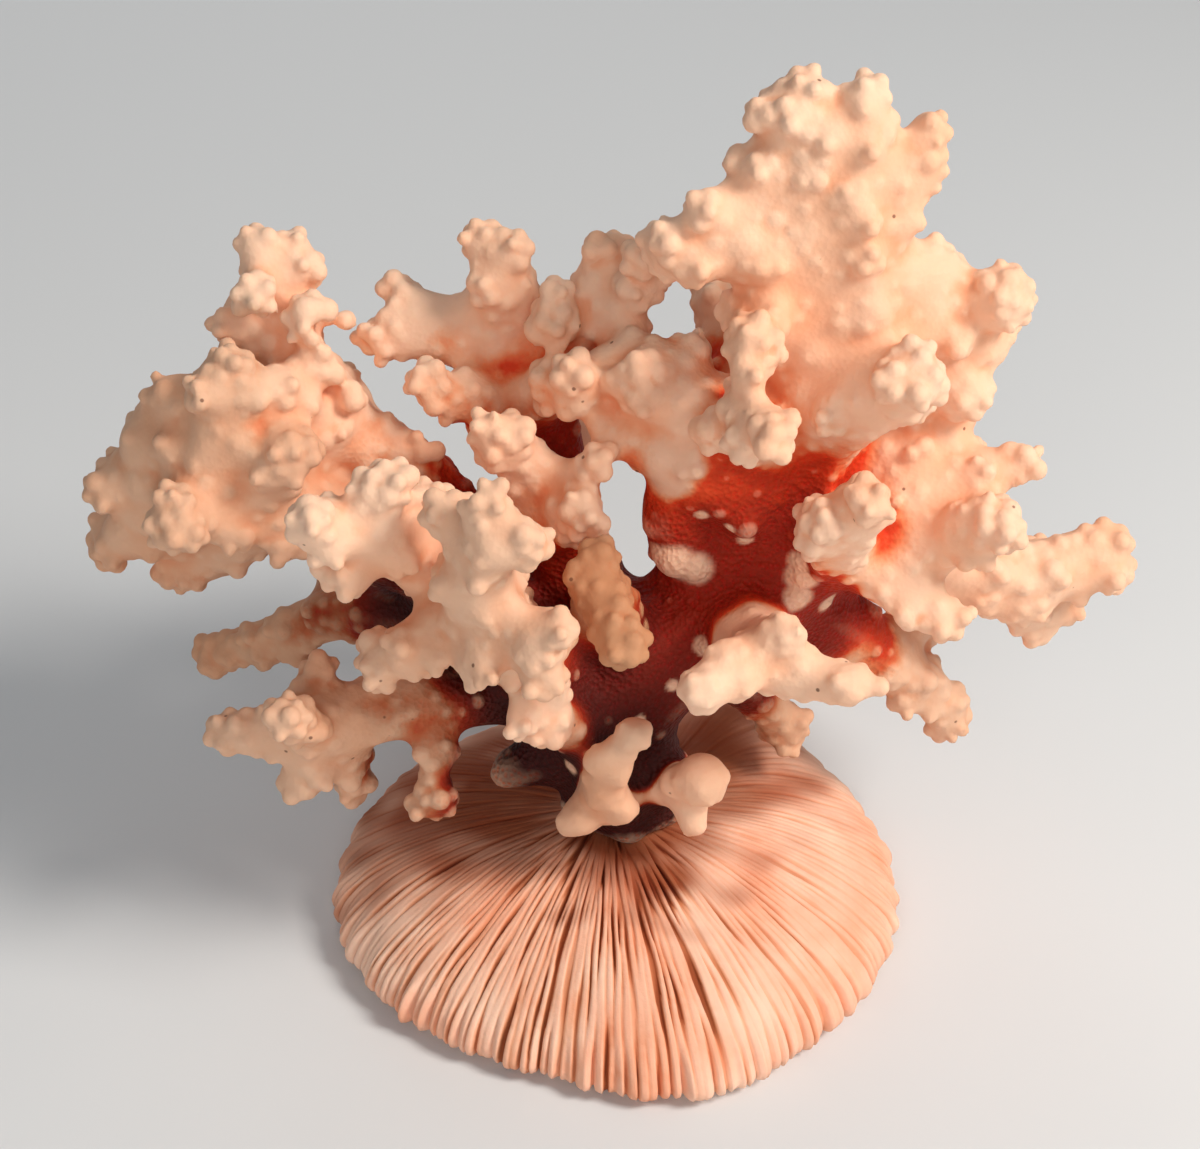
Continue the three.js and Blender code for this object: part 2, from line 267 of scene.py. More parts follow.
# single pale swellings on the red heart: x, y, z and radius in millimetres, each drawn to the nearest surface
warts = np.array([
    (5.4, -6.2, 74.8, 2.8), (9.2, -7.4, 74.4, 3.8), (13.2, -7.0, 74.0, 3.0), (29.8, -7.4, 76.0, 2.2),
    (30.2, -7.4, 72.6, 2.8), (30.6, -7.6, 68.8, 2.6), (21.5, -7.4, 79.5, 1.4), (5.4, -12.4, 71.4, 1.4),
    (7.8, -12.4, 67.8, 1.3), (14.5, -11.4, 62.9, 1.9), (9.8, -14.4, 55.5, 1.1), (37.2, -3.4, 64.6, 1.9),
    (44.0, -3.0, 60.5, 2.2), (14.4, -6.0, 86.0, 1.2), (19.0, -7.0, 84.0, 1.0), (-22.5, -7.4, 51.3, 1.5),
    (-8.0, -15.0, 40.0, 1.4), (2.0, -15.0, 44.0, 1.2), (26.0, -8.0, 62.0, 1.5), (4.0, -14.0, 50.0, 1.0)])
# round swellings that fill out the plain solids here and there: x, y, z and radius in millimetres
swellings = np.array([
    (11.8, 2.6, 109.6, 3.7), (6.4, 2.2, 109.0, 4.0), (-1.1, 4.6, 105.3, 5.0), (-75.8, 1.6, 94.0, 5.6),
    (-77.6, 2.6, 82.0, 6.0), (-69.8, 0.6, 102.0, 5.0), (-5.6, -23.4, 36.6, 3.8), (-8.0, -24.0, 35.0, 2.6),
    (1.0, -25.0, 39.2, 3.2), (-2.0, -25.5, 43.5, 3.6), (-3.6, -29.2, 52.2, 2.5), (2.7, -29.4, 58.0, 3.2),
    (14.2, -23.4, 44.0, 4.9), (10.6, -22.0, 42.4, 3.2), (60.0, 0.0, 121.0, 5.5), (56.0, 1.0, 104.0, 5.0),
    (70.0, 5.0, 62.0, 5.5), (3.9, 7.6, 124.1, 3.0), (2.7, 5.6, 109.5, 3.4),
    (-27.9, 7.6, 114.6, 3.8), (-10.1, 8.6, 112.4, 4.4), (-9.5, 8.6, 116.4, 3.2), (-26.1, 7.6, 117.6, 3.0),
    (-33.9, 6.6, 113.4, 3.8), (-57.3, 4.6, 119.4, 3.6), (-48.8, 4.6, 114.5, 4.2), (-47.7, 4.6, 107.8, 4.2),
    (-42.3, 4.6, 101.7, 3.0)])
# the left fan's outer edge is drawn in a little: the middle and reach of the pull, and how far it moves
fanPull = {"middle": np.array([-81.6, 4.6, 100.0]) * mm, "reach": 18 * mm, "shift": np.array([5.5, 0.0, 0.0]) * mm}
# the slanting gap between the two upper left branches, as bores: a place on each one's middle line and its radius,
# in millimetres. Each bore is a row of balls along one direction, that many millimetres each way.
boreWay = np.array([0.0, 0.84, -0.54])
boreLength = 16
boreBalls = 17
gaps = np.array([
    (-46.2, 4.6, 113.6, 2.8), (-43.5, 4.6, 110.0, 3.3), (-40.8, 4.6, 105.4, 3.3), (-38.4, 4.6, 102.1, 3.3),
    (-34.4, 4.6, 99.1, 3.1), (-30.5, 4.6, 95.4, 2.8), (-27.3, 4.6, 91.6, 2.4)])
# how far along each branch, from the trunk, the rust-red heart colour reaches, in millimetres
redReach = {
    "trunk": 60, "tall_right_branch": 27, "right_crown_branch": 18, "right_arm_branch": 14, "low_right_branch": 18,
    "front_spur_branch": 8, "under_right_branch": 16, "upper_middle_branch": 26, "upper_left_branch": 25,
    "left_fan_branch": 20, "front_left_branch": 21, "front_middle_branch": 17, "centre_branch": 20,
    "front_drooping_branch": 14, "left_arm_branch": 24, "low_left_branch": 22, "front_bud": 9, "left_stub": 2,
    "right_stub": 3, "back_left_branch": 20, "back_middle_branch": 20, "back_right_branch": 20,
    "back_far_right_branch": 20, "back_low_left_branch": 16, "back_low_right_branch": 16,
}
# how brown and dulled a branch is, from 0 to 1: long broken branches are browner in truth, and those low in the colony
# also get painted shade
dullnessAndShade = {
    "left_stub": 0.35, "right_stub": 0.15, "left_arm_branch": 0.7, "front_drooping_branch": 1.0,
    "left_fan_branch": 0.45, "low_left_branch": 0.35, "low_right_branch": 0.35, "under_right_branch": 0.6,
    "front_middle_branch": 0.3, "back_low_left_branch": 0.4, "back_low_right_branch": 0.4,
}
branchNames = list(redReach)


def nodeArrays(name):
    # a frame solid's points, with doubles nearer than a thousandth of a millimetre merged, and its triangles
    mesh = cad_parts[name].data
    mesh.calc_loop_triangles()
    points = readArray(mesh.vertices, "co", 3)
    triangles = readArray(mesh.loop_triangles, "vertices", 3, np.int32)
    grain = 1e-6
    keys, index = np.unique(np.round(points / grain).astype(np.int64), axis=0, return_inverse=True)
    return keys * grain, index.ravel()[triangles]


def stacked(parts):
    # several (points, faces) pairs as one
    starts = np.cumsum([0] + [len(points) for points, _ in parts])
    faces = np.concatenate([faces + start for (_, faces), start in zip(parts, starts)])
    return np.concatenate([points for points, _ in parts]), faces


def coreParts():
    # the frame's branch solids, each a little swollen
    parts = []
    for name in branchNames:
        points, faces = nodeArrays(name)
        parts.append((points + coral["swell"] * pointNormals(points, faces), faces))
    return parts


def convexity(points, faces, rounds):
    # how far each point stands out from the surface round it, in metres: more at tips and edges
    eased = relax(points, faces, rounds)
    return ((points - eased) * pointNormals(eased, faces)).sum(axis=1)


def lumpMesh(roots, axes, radii, heights):
    # lumps: a buried root, a stem that flares a little and a round head, up to the height along the axis
    head = heights - radii
    neck = np.minimum(0.2 * radii, head)
    along = np.stack([-1.6 * radii, -1.2 * radii, neck, head, head + 0.55 * radii, head + 0.87 * radii, head + radii],
                     axis=1)
    across = np.stack([0 * radii, 1.2 * radii, 1.05 * radii, radii, 0.84 * radii, 0.5 * radii, 0 * radii], axis=1)
    return turnedMesh(roots, axes, along, across, coral["knobSides"])


def ballMesh(centres, radii, sides):
    # balls: along the axis -radius * cos(t), across it radius * sin(t), for t from 0 to pi
    t = np.linspace(0, math.pi, 9)
    axes = np.tile([0.0, 0.0, 1.0], (len(centres), 1))
    return turnedMesh(centres, axes, -radii[:, None] * np.cos(t), radii[:, None] * np.sin(t), sides)


def turnedMesh(roots, axes, along, across, sides):
    # solids of revolution. A ring's points stand at root + axis * along + across * (cos, sin), and the first and
    # last rings are single points.
    up = np.where(np.abs(axes[:, 2:3]) < 0.9, [[0.0, 0.0, 1.0]], [[1.0, 0.0, 0.0]])
    sideways = np.cross(axes, up)
    sideways /= np.linalg.norm(sideways, axis=1, keepdims=True)
    forwards = np.cross(axes, sideways)
    turn = np.linspace(0, 2 * math.pi, sides, endpoint=False)
    circle = (np.cos(turn)[None, :, None] * sideways[:, None, :] + np.sin(turn)[None, :, None] * forwards[:, None, :])
    centre = roots[:, None, :] + axes[:, None, :] * along[:, :, None]
    rings = centre[:, 1:-1, None, :] + across[:, 1:-1, None, None] * circle[:, None, :, :]
    count, levels = len(roots), rings.shape[1]
    points = np.concatenate([rings.reshape(count, -1, 3), centre[:, :1], centre[:, -1:]], axis=1)
    k = np.arange(sides)
    level = np.arange(levels - 1)[:, None]
    here, there = level * sides + k, level * sides + (k + 1) % sides
    walls = np.stack([here, here + sides, there + sides, there], axis=-1).reshape(-1, 4)
    floor = np.stack([k, (k + 1) % sides, np.full(sides, levels * sides)], axis=-1)
    top = (levels - 1) * sides
    roof = np.stack([(k + 1) % sides + top, k + top, np.full(sides, levels * sides + 1)], axis=-1)
    walls = np.concatenate([walls[:, [0, 1, 2]], walls[:, [0, 2, 3]]])
    pattern = np.concatenate([walls, floor, roof])
    faces = pattern[None] + (np.arange(count) * points.shape[1])[:, None, None]
    return points.reshape(-1, 3), faces.reshape(-1, 3)


def distances(target, points, faces):
    # each point's distance to the nearest part of the target's surface, measured by a geometry node
    return measure(points, faces, target, "distance")


def measure(points, faces, target, what):
    # for each point the distance to the target, or the whole number that the target's nearest face carries
    probe = makeObject("probe", points, faces)
    tree = bpy.data.node_groups.new("measure", "GeometryNodeTree")
    tree.interface.new_socket("Geometry", in_out="INPUT", socket_type="NodeSocketGeometry")
    tree.interface.new_socket("Geometry", in_out="OUTPUT", socket_type="NodeSocketGeometry")
    entry = addNode(tree, "NodeGroupInput")
    other = addNode(tree, "GeometryNodeObjectInfo", {"Object": target})
    if what == "distance":
        near = addNode(tree, "GeometryNodeProximity", {0: other.outputs["Geometry"]})
        value = near.outputs["Distance"]
        kind = "FLOAT"
    else:
        tag = addNode(tree, "GeometryNodeInputNamedAttribute", {"Name": what}, data_type="INT")
        near = addNode(tree, "GeometryNodeSampleNearestSurface",
                       {"Mesh": other.outputs["Geometry"], "Value": tag.outputs["Attribute"]}, data_type="INT")
        value = near.outputs["Value"]
        kind = "INT"
    store = addNode(tree, "GeometryNodeStoreNamedAttribute",
                    {"Geometry": entry.outputs[0], "Name": "found", "Value": value}, data_type=kind)
    addNode(tree, "NodeGroupOutput", {0: store.outputs[0]})
    probe.modifiers.new("measure", "NODES").node_group = tree
    shown = probe.evaluated_get(bpy.context.evaluated_depsgraph_get()).data
    found = readArray(shown.attributes["found"].data, "value", 1, np.float32 if kind == "FLOAT" else np.int32)
    discard(probe)
    bpy.data.node_groups.remove(tree)
    return found


parts = coreParts()
cadPoints, cadFaces = stacked(parts)
cadObject = makeObject("cadSolids", cadPoints, cadFaces)
tags = np.concatenate([np.full(len(faces), k, np.int32) for k, (_, faces) in enumerate(parts)])
cadObject.data.attributes.new("branch", "INT", "FACE").data.foreach_set("value", tags)
trunkObject = makeObject("trunkSolid", *nodeArrays("trunk"))

corePoints, coreFaces = voxelSkin(cadPoints, cadFaces, coral["coreVoxel"], coral["coreRounds"])
corePoints = corePoints - coral["slim"] * pointNormals(corePoints, coreFaces)
away = np.linalg.norm(corePoints - fanPull["middle"], axis=1) / fanPull["reach"]
corePoints = corePoints + (1 - smoothStep(0.3, 1.0, away))[:, None] * fanPull["shift"]
print(f"core: {len(coreFaces)} faces")


def wornFactor(points, faces):
    # for each point the factor on the height of lumps and knobs, by the branch that it is nearest to
    factors = np.array([smoothBranches.get(name, 1.0) for name in branchNames])
    return factors[measure(points, faces, cadObject, "branch")]


def addLumps(points, faces):
    # round swellings that turn the smooth limbs into lobes, larger and closer towards the tips
    draw = np.random.default_rng(coral["seed"])
    normals = pointNormals(points, faces)
    bulge = smoothStep(0.1 * mm, 1.0 * mm, convexity(points, faces, 24))
    outer = smoothStep(*coral["lumpReach"], distances(trunkObject, points, faces))
    chosen = spreadOut(points, coral["lumpSpacing"], draw)
    chosen = chosen[draw.random(len(chosen)) < 0.15 + 0.5 * outer[chosen] + 0.4 * bulge[chosen]]
    radii = coral["lumpRadius"] * draw.uniform(0.65, 1.3, len(chosen)) * (0.75 + 0.25 * outer[chosen])
    heights = radii * draw.uniform(0.35, 0.85, len(chosen)) * (0.8 + 0.3 * bulge[chosen])
    heights *= wornFactor(points, faces)[chosen]
    axes = leaned(points[chosen], normals[chosen], coral["lumpLean"], draw)
    sunk = 0.7 * radii
    return lumpMesh(points[chosen] - sunk[:, None] * axes, axes, radii, heights + sunk)


def nearestPoints(points, places):
    # the number of the point that is nearest to each place
    return np.array([((points - place) ** 2).sum(axis=1).argmin() for place in places])


def leaned(points, normals, amount, draw):
    # directions between the surface's normal and the way the colony grows, up and outwards
    growth = points - coral["growthStart"]
    growth /= np.linalg.norm(growth, axis=1, keepdims=True)
    axes = normals + amount * growth + coral["stray"] * draw.normal(size=points.shape)
    return axes / np.linalg.norm(axes, axis=1, keepdims=True)


def halved(faces):
    # two triangles for each quad
    return np.concatenate([faces[:, [0, 1, 2]], faces[:, [0, 2, 3]]])


def carved(points, faces):
    # the surface with the gaps' bores taken away, as triangles
    steps = np.linspace(-boreLength, boreLength, boreBalls)[None, :, None] * mm * boreWay
    centres = (gaps[:, None, :3] * mm + steps).reshape(-1, 3)
    balls = ballMesh(centres, np.repeat(gaps[:, 3] * mm, boreBalls), coral["ballSides"])
    bores = voxelSkin(*balls, coral["coreVoxel"], coral["boredRounds"])
    body, cutter = makeObject("body", points, faces), makeObject("bores", *bores)
    cut = body.modifiers.new("cut", "BOOLEAN")
    cut.operation, cut.object, cut.solver = "DIFFERENCE", cutter, "MANIFOLD"
    body.modifiers.new("corners", "TRIANGULATE")
    shown = body.evaluated_get(bpy.context.evaluated_depsgraph_get()).data
    points = readArray(shown.vertices, "co", 3)
    faces = readArray(shown.loops, "vertex_index", 1, np.int32).reshape(-1, 3)
    discard(body)
    discard(cutter)
    return points, faces


lumps = addLumps(corePoints, coreFaces)
balls = ballMesh(swellings[:, :3] * mm, swellings[:, 3] * mm, coral["ballSides"])
lobed = stacked([(corePoints, halved(coreFaces)), lumps, balls])
lobed = voxelSkin(*lobed, coral["coreVoxel"], coral["lobeRounds"])
corePoints, coreFaces = voxelSkin(*carved(*lobed), coral["coreVoxel"], coral["boredRounds"])
print(f"lobed core: {len(coreFaces)} faces")


def addKnobs(points, faces):
    # the knobs that cover the coral: tall and close on tips and edges, low on broad faces, few on the red heart
    draw = np.random.default_rng(coral["seed"] + 1)
    normals = pointNormals(points, faces)
    bulge = smoothStep(0.0 * mm, 0.8 * mm, convexity(points, faces, 12))
    heart = 1 - smoothStep(*coral["knobReach"], distances(trunkObject, points, faces))
    worn = wornFactor(points, faces)
    chosen = spreadOut(points, coral["knobSpacing"], draw)
    chosen = chosen[draw.random(len(chosen)) < (0.5 + 0.5 * bulge[chosen]) * (1 - 0.75 * heart[chosen])]
    radii = coral["knobRadius"] * np.exp(draw.normal(0, 0.2, len(chosen)))
    tall = (0.15 + 0.85 * bulge[chosen]) * (1 - 0.5 * heart[chosen]) * draw.uniform(0.75, 1.25, len(chosen))
    heights = np.maximum(coral["knobHeight"] * tall * worn[chosen], 0.25 * radii)
    axes = leaned(points[chosen], normals[chosen], coral["knobLean"], draw)
    single = nearestPoints(points, warts[:, :3] * mm)
    radii = np.append(radii, warts[:, 3] * mm)
    heights = np.append(heights, coral["wartHeight"] * warts[:, 3] * mm)
    axes = np.concatenate([axes, normals[single]])
    centres = points[np.append(chosen, single)] + (heights - radii)[:, None] * axes
    print(f"knobs: {len(centres)}")
    return ballMesh(centres, radii, coral["knobSides"])


knobs = addKnobs(corePoints, coreFaces)
knobbed = stacked([(corePoints, halved(coreFaces)), knobs])
skinPoints, skinFaces = voxelSkin(*knobbed, coral["skinVoxel"], coral["skinRounds"], coral["skinStrength"])
print(f"skin: {len(skinFaces)} faces")

# what the materials read: how far a point stands out of the surface round it, how red the heart is there, how brown
# and dulled the branch is, partly real browning and partly painted shade, and whether the point is on a wart
crestAttribute = smoothStep(-0.45 * mm, 0.55 * mm, convexity(skinPoints, skinFaces, 14))
trunkDistance = distances(trunkObject, skinPoints, skinFaces)
nearest = measure(skinPoints, skinFaces, cadObject, "branch")
shares = relax(np.eye(len(branchNames), dtype=np.float32)[nearest], skinFaces, 3)
nearest = shares.argmax(axis=1)
reach = relax(np.array(list(redReach.values()))[nearest][:, None] * mm, skinFaces, 12)[:, 0]
dullAndShade = np.array([dullnessAndShade.get(name, 0.0) for name in branchNames])
dullAndShadeAttribute = relax(dullAndShade[nearest][:, None], skinFaces, 8)[:, 0]
ragged = 1 + 0.25 * waves(skinPoints, 14 * mm, 14, 5)
redAttribute = 1 - smoothStep(0.1, 1.2, trunkDistance / (reach * ragged))
wartPlaces = corePoints[nearestPoints(corePoints, warts[:, :3] * mm)]
wartAttribute = np.zeros(len(skinPoints))
for place, radius in zip(wartPlaces, warts[:, 3] * mm):
    away = np.linalg.norm(skinPoints - place, axis=1) / radius
    wartAttribute = np.maximum(wartAttribute, 1 - smoothStep(0.7, 1.25, away))
skinNormals = pointNormals(skinPoints, skinFaces)


def partPieces():
    # parts the skin at the forks: each face goes with the branch that most of its corners are nearest to, and the
    # patch is closed by an inner wall. The whole skin's normals are kept, so that no seam shows.
    faceBranch = shares[skinFaces].sum(axis=1).argmax(axis=1)
    fields = {"crest": crestAttribute, "red": redAttribute, "wart": wartAttribute, "dullAndShade": dullAndShadeAttribute}
    pieces = {}
    for k, name in enumerate(branchNames):
        points, faces, kept = keepFaces(skinPoints, skinFaces, faceBranch == k)
        normals = skinNormals[kept]
        inside, triangles = innerWall(points, faces, normals)
        piece = makeObject(f"coral_{name}", np.concatenate([points, inside]), triangles)
        for field, values in fields.items():
            layer = piece.data.attributes.new(field, "FLOAT", "POINT")
            layer.data.foreach_set("value", np.append(values[kept], np.zeros(len(inside))).astype(np.float32))
        normals = np.concatenate([normals, pointNormals(piecePoints(piece), triangles)[len(points):]])
        piece.data.normals_split_custom_set_from_vertices(normals.tolist())
        print(f"{name}: {len(triangles)} triangles")
        pieces[name] = piece
    return pieces


def piecePoints(piece):
    return readArray(piece.data.vertices, "co", 3)


def innerWall(points, faces, normals):
    # The patch again, pushed in and turned round, so that it and the patch close each other along the rim. It goes
    # in step by step over the first rings of points. Further on, its points are gathered to one for each cell of a
    # coarse grid, and the triangles that collapse are left out.
    outer = halved(faces)
    depth = coral["wallRings"]
    start, end = outer.ravel().astype(np.int64), np.roll(outer, -1, axis=1).ravel().astype(np.int64)
    ring = np.full(len(points), depth)
    ring[start[~np.isin(start * len(points) + end, end * len(points) + start)]] = 0
    for step in range(1, depth):
        beside = faces[(ring[faces] == step - 1).any(axis=1)]
        ring[beside] = np.minimum(ring[beside], step)
    inward = points - coral["wall"] * (ring / depth)[:, None] * normals
    codes = cellCodes(inward, coral["wallCell"])
    codes[ring < depth] = -1 - np.flatnonzero(ring < depth)
    free = ring > 0
    _, gathered = np.unique(codes[free], return_inverse=True)
    gathered = gathered.ravel()
    total = np.stack([np.bincount(gathered, inward[free, axis]) for axis in range(3)], axis=1)
    inside = total / np.bincount(gathered)[:, None]
    number = np.arange(len(points))
    number[free] = len(points) + gathered
    inner = number[faces[:, ::-1]]
    # a quad with most of its corners on the rim would lie on the outside, so its middle is pushed in
    pinned = (ring[faces] == 0).sum(axis=1) > 2
    middles = (points[faces[pinned]] - 0.4 * coral["wall"] * normals[faces[pinned]]).mean(axis=1)
    peak = len(points) + len(inside) + np.arange(len(middles))
    fans = [np.stack([inner[pinned, k], inner[pinned, (k + 1) % 4], peak], axis=1) for k in range(4)]
    inside = np.concatenate([inside, middles])
    inner = np.concatenate([halved(inner[~pinned])] + fans)
    whole = (inner[:, 0] != inner[:, 1]) & (inner[:, 1] != inner[:, 2]) & (inner[:, 2] != inner[:, 0])
    inner = inner[whole]
    # triangles that lie back to back cancel out
    _, back, times = np.unique(np.sort(inner, axis=1), axis=0, return_inverse=True, return_counts=True)
    return inside, np.concatenate([outer, inner[times[back.ravel()] % 2 == 1]])


coralPieces = partPieces()
for helper in (cadObject, trunkObject):
    discard(helper)
print("branches parted")


# ---------- the mushroom coral

mushroom = {
    "radius": 49.8 * mm,
    "rimBottom": 2.2 * mm,
    "rimTop": 5.8 * mm,
    "rimLeast": 2.4 * mm,      # the rim is nowhere thinner
    "top": 23 * mm,            # the dome's height without the hump
    "lopsided": 1.2 * mm,      # the outline reaches this much further right, and this much less far left
    "lobe": (3.6 * mm, -1.26, 0.38),   # the blunt lobe at the front: how far out, its angle and its width in radians
    "flat": (2.6 * mm, -1.95, 0.52),   # the flatter stretch left of it: how far in, its angle and its width
    "ring": (0.78, 0.9),       # the flat ring it stands on, as shares of the radius
    # the rings of points underneath, outside the flat ring and inside it, as shares of the radius
    "outerRings": (0.98, 0.95, 0.92),
    "innerRings": (0.72, 0.64, 0.54, 0.42, 0.3, 0.18, 0.08),
    "hollow": 8 * mm,
    "hump": (22 * mm, 30 * mm, 8.5 * mm, 14 * mm),   # x and y from the middle, height, spread
    "septa": 180,              # about 1.8 mm apart at the rim
    "across": 6,               # columns of points to a septum
    "rows": 70,
    "septumHeight": 0.8 * mm,
    "septumStarts": (0.02, 0.06, 0.12, 0.2, 0.34),   # where each order of septa starts, as shares of the radius
    "front": (-1.8, 1.05),     # where the grooves are deepest: an angle and a width in radians
    # painted shadow patches, where the crown's shadow falls on the dome: x and y in the frame, and the distances from
    # there between which each fades out
    "crownShadows": ((-23 * mm, 5 * mm, 10 * mm, 36 * mm), (4 * mm, -12 * mm, 6 * mm, 24 * mm),
             (20 * mm, 9 * mm, 4 * mm, 24 * mm)),
    "seed": 5,
}


def turnedFrom(angle, start):
    # the turn from one angle to another, between minus and plus half a turn
    return (angle - start + math.pi) % (2 * math.pi) - math.pi


def outline(angle):
    # nearly round, with a blunt lobe at the front and a flatter stretch left of it
    turn = turnedFrom(angle, 0)
    lobe, flat = (far * np.exp(-((turn - middle) / width) ** 2)
                  for far, middle, width in (mushroom["lobe"], mushroom["flat"]))
    return mushroom["radius"] + mushroom["lopsided"] * np.cos(turn) + lobe - flat


def domeHeight(share):
    # a full cushion: rim height plus the rest times (1 - share^2.3)^0.72
    rise = mushroom["top"] - mushroom["rimTop"]
    return mushroom["rimTop"] + rise * (1 - np.clip(share, 0, 1) ** 2.3) ** 0.72


def mushroomMiddle():
    # where the outline's own middle stands, so that its box lies over the frame's
    angle = np.linspace(0, 2 * math.pi, 721)
    x, y = outline(angle) * np.cos(angle), outline(angle) * np.sin(angle)
    low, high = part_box("mushroom_coral_base")
    return (low.x + high.x - x.min() - x.max()) / 2, (low.y + high.y - y.min() - y.max()) / 2


def septumPattern(share, angle):
    # height above the groove floor, 0 to 1: at every place the tallest of the nearby septa counts. A septum fades
    # in at its own share of the radius, is as wide as the room it has, and falls off as 1 - away^6.
    draw = np.random.default_rng(mushroom["seed"])
    count = mushroom["septa"]
    order = np.gcd(np.arange(count), 16)
    starts = mushroom["septumStarts"]
    start = np.select([order == 16, order == 8, order == 4, order == 2], starts[:4], starts[4])
    start = start + draw.uniform(-0.04, 0.14, count) * (order < 16)
    tall = draw.uniform(0.75, 1.0, count)
    middle = (np.arange(count) + draw.uniform(-0.26, 0.26, count)) * 2 * math.pi / count
    width = draw.uniform(0.38, 0.5, count)
    fade = smoothStep(start[None], start[None] + 0.12, share[:, None])
    room = 2 * math.pi / np.maximum(fade.sum(axis=1), 8)
    here = np.floor(angle / (2 * math.pi) * count).astype(int)
    height = np.zeros((len(share), len(angle)))
    for step in range(-9, 10):
        k = (here + step) % count
        away = turnedFrom(angle, middle[k])
        wander = 0.13 * np.sin(share[:, None] * 8 + k * 2.4) + 0.09 * np.sin(share[:, None] * 21 + k * 5.1)
        away = away[None] + wander * 2 * math.pi / count
        half = width[k] * room[:, None] * (0.7 + 0.35 * share[:, None])
        ridge = np.clip(1 - np.abs(away / half) ** 6, 0, 1)
        worn = 1 + 0.1 * np.sin(share[:, None] * 31 + k * 1.7) + 0.05 * np.sin(share[:, None] * 170 + k * 3.1)
        height = np.maximum(height, ridge * fade[:, k] * tall[k] * worn)
    return height


def mushroomMesh():
    centreX, centreY = mushroomMiddle()
    columns = mushroom["septa"] * mushroom["across"]
    angle = np.linspace(0, 2 * math.pi, columns, endpoint=False)
    share = np.linspace(0.02, 1, mushroom["rows"])
    crest = septumPattern(share, angle)
    draw = np.random.default_rng(mushroom["seed"] + 1)
    reach = outline(angle)
    # the rim is ragged: each septum ends a little further out or in
    ends = np.repeat(draw.uniform(-1.1, 0.6, mushroom["septa"]) * mm, mushroom["across"])
    tooth = (crest[-1] - 0.6) * 1.2 * mm + np.convolve(np.tile(ends, 3), np.ones(5) / 5, "same")[columns:2 * columns]
    reach = reach[None] + smoothStep(0.9, 1.0, share)[:, None] * tooth[None]
    x, y = share[:, None] * reach * np.cos(angle), share[:, None] * reach * np.sin(angle)
    humpX, humpY, humpHeight, spread = mushroom["hump"]
    hump = humpHeight * np.exp(-((x - humpX) ** 2 + (y - humpY) ** 2) / spread ** 2)
    # the grooves are deepest at the front, and some of them close up for a stretch
    frontAngle, frontWidth = mushroom["front"]
    front = 0.34 + 0.66 * np.exp(-(turnedFrom(angle, frontAngle) / frontWidth) ** 2)
    lanes = np.stack([np.cos(angle) * 0.9, np.sin(angle) * 0.9], axis=-1)[None] * mushroom["radius"]
    lanes = np.concatenate([np.broadcast_to(lanes, x.shape + (2,)), 0.25 * np.hypot(x, y)[..., None]], axis=-1)
    closing = np.clip(0.7 + 0.6 * waves(lanes.reshape(-1, 3), 4.5 * mm, 24, 21), 0.35, 1.5).reshape(x.shape)
    depth = mushroom["septumHeight"] * smoothStep(0.04, 0.24, share)[:, None] * front[None] * closing
    uneven = 0.5 * mm * waves(np.stack([x, y, 0 * x], axis=-1).reshape(-1, 3), 26 * mm, 9, 8).reshape(x.shape)
    z = domeHeight(share)[:, None] + hump + (crest - 1) * depth + uneven * smoothStep(0.2, 0.6, share)[:, None]
    z = np.maximum(z, mushroom["rimBottom"] + mushroom["rimLeast"])
    layers = [np.stack([x, y, z], axis=-1)]
    # the rim's round edge, then the underside: up to the flat ring and into the hollow
    edge = layers[0][-1]
    low, high = mushroom["rimBottom"], edge[:, 2]
    for t in (0.25, 0.5, 0.75, 1.0):
        out = 1 + 0.012 * math.sin(math.pi * t)
        layers.append(np.stack([edge[:, 0] * out, edge[:, 1] * out, high + (low - high) * t], axis=-1)[None])
    inner, outer = mushroom["ring"]
    rib = 0.35 * mm * crest[-1]
    for s in (*mushroom["outerRings"], outer, (inner + outer) / 2, inner, *mushroom["innerRings"]):
        if s >= outer:
            height = low * (s - outer) / (1 - outer)
        elif s >= inner:
            height = 0
        else:
            height = mushroom["hollow"] * (1 - (s / inner) ** 2)
        lift = rib * (0 if inner <= s <= outer else min(1, abs(s - inner) * 8 + 0.2))
        scale = s * (outline(angle) if s < 0.96 else reach[-1])
        layers.append(np.stack([scale * np.cos(angle), scale * np.sin(angle), height + lift], axis=-1)[None])
    points = np.concatenate(layers)
    rows = len(points)
    flat = points.reshape(-1, 3) + np.array([centreX, centreY, 0])
    row = np.arange(rows - 1)[:, None]
    k = np.arange(columns)
    here, there = row * columns + k, row * columns + (k + 1) % columns
    faces = np.stack([here, here + columns, there + columns, there], axis=-1).reshape(-1, 4)
    ridge = np.zeros(len(flat), np.float32)
    ridge[: crest.size] = (1 + (crest - 1) * depth / mushroom["septumHeight"]).ravel()
    ridge[crest.size:] = np.tile(ridge[crest.size - columns:crest.size], rows - len(share))
    return flat, faces, ridge


def buildMushroom():
    points, faces, ridge = mushroomMesh()
    piece = makeObject("mushroom_coral", points, faces)
    piece.data.attributes.new("ridge", "FLOAT", "POINT").data.foreach_set("value", ridge)
    # painted shadow: the top of the dome round the trunk's foot is browned where the crown above shades it, most of
    # all on its left
    crownShadow = np.zeros(len(points))
    for x, y, near, far in mushroom["crownShadows"]:
        away = np.hypot(points[:, 0] - x, points[:, 1] - y) + 5 * mm * waves(points, 12 * mm, 12, 31)
        crownShadow = np.maximum(crownShadow, 1 - smoothStep(near, far, away))
    piece.data.attributes.new("crownShadow", "FLOAT", "POINT").data.foreach_set("value", crownShadow.astype(np.float32))
    shape = bmesh.new()
    shape.from_mesh(piece.data)
    rim = [edge for edge in shape.edges if edge.is_boundary]
    caps = bmesh.ops.holes_fill(shape, edges=rim, sides=0)["faces"]
    bmesh.ops.poke(shape, faces=caps)
    shape.to_mesh(piece.data)
    shape.free()
    return piece


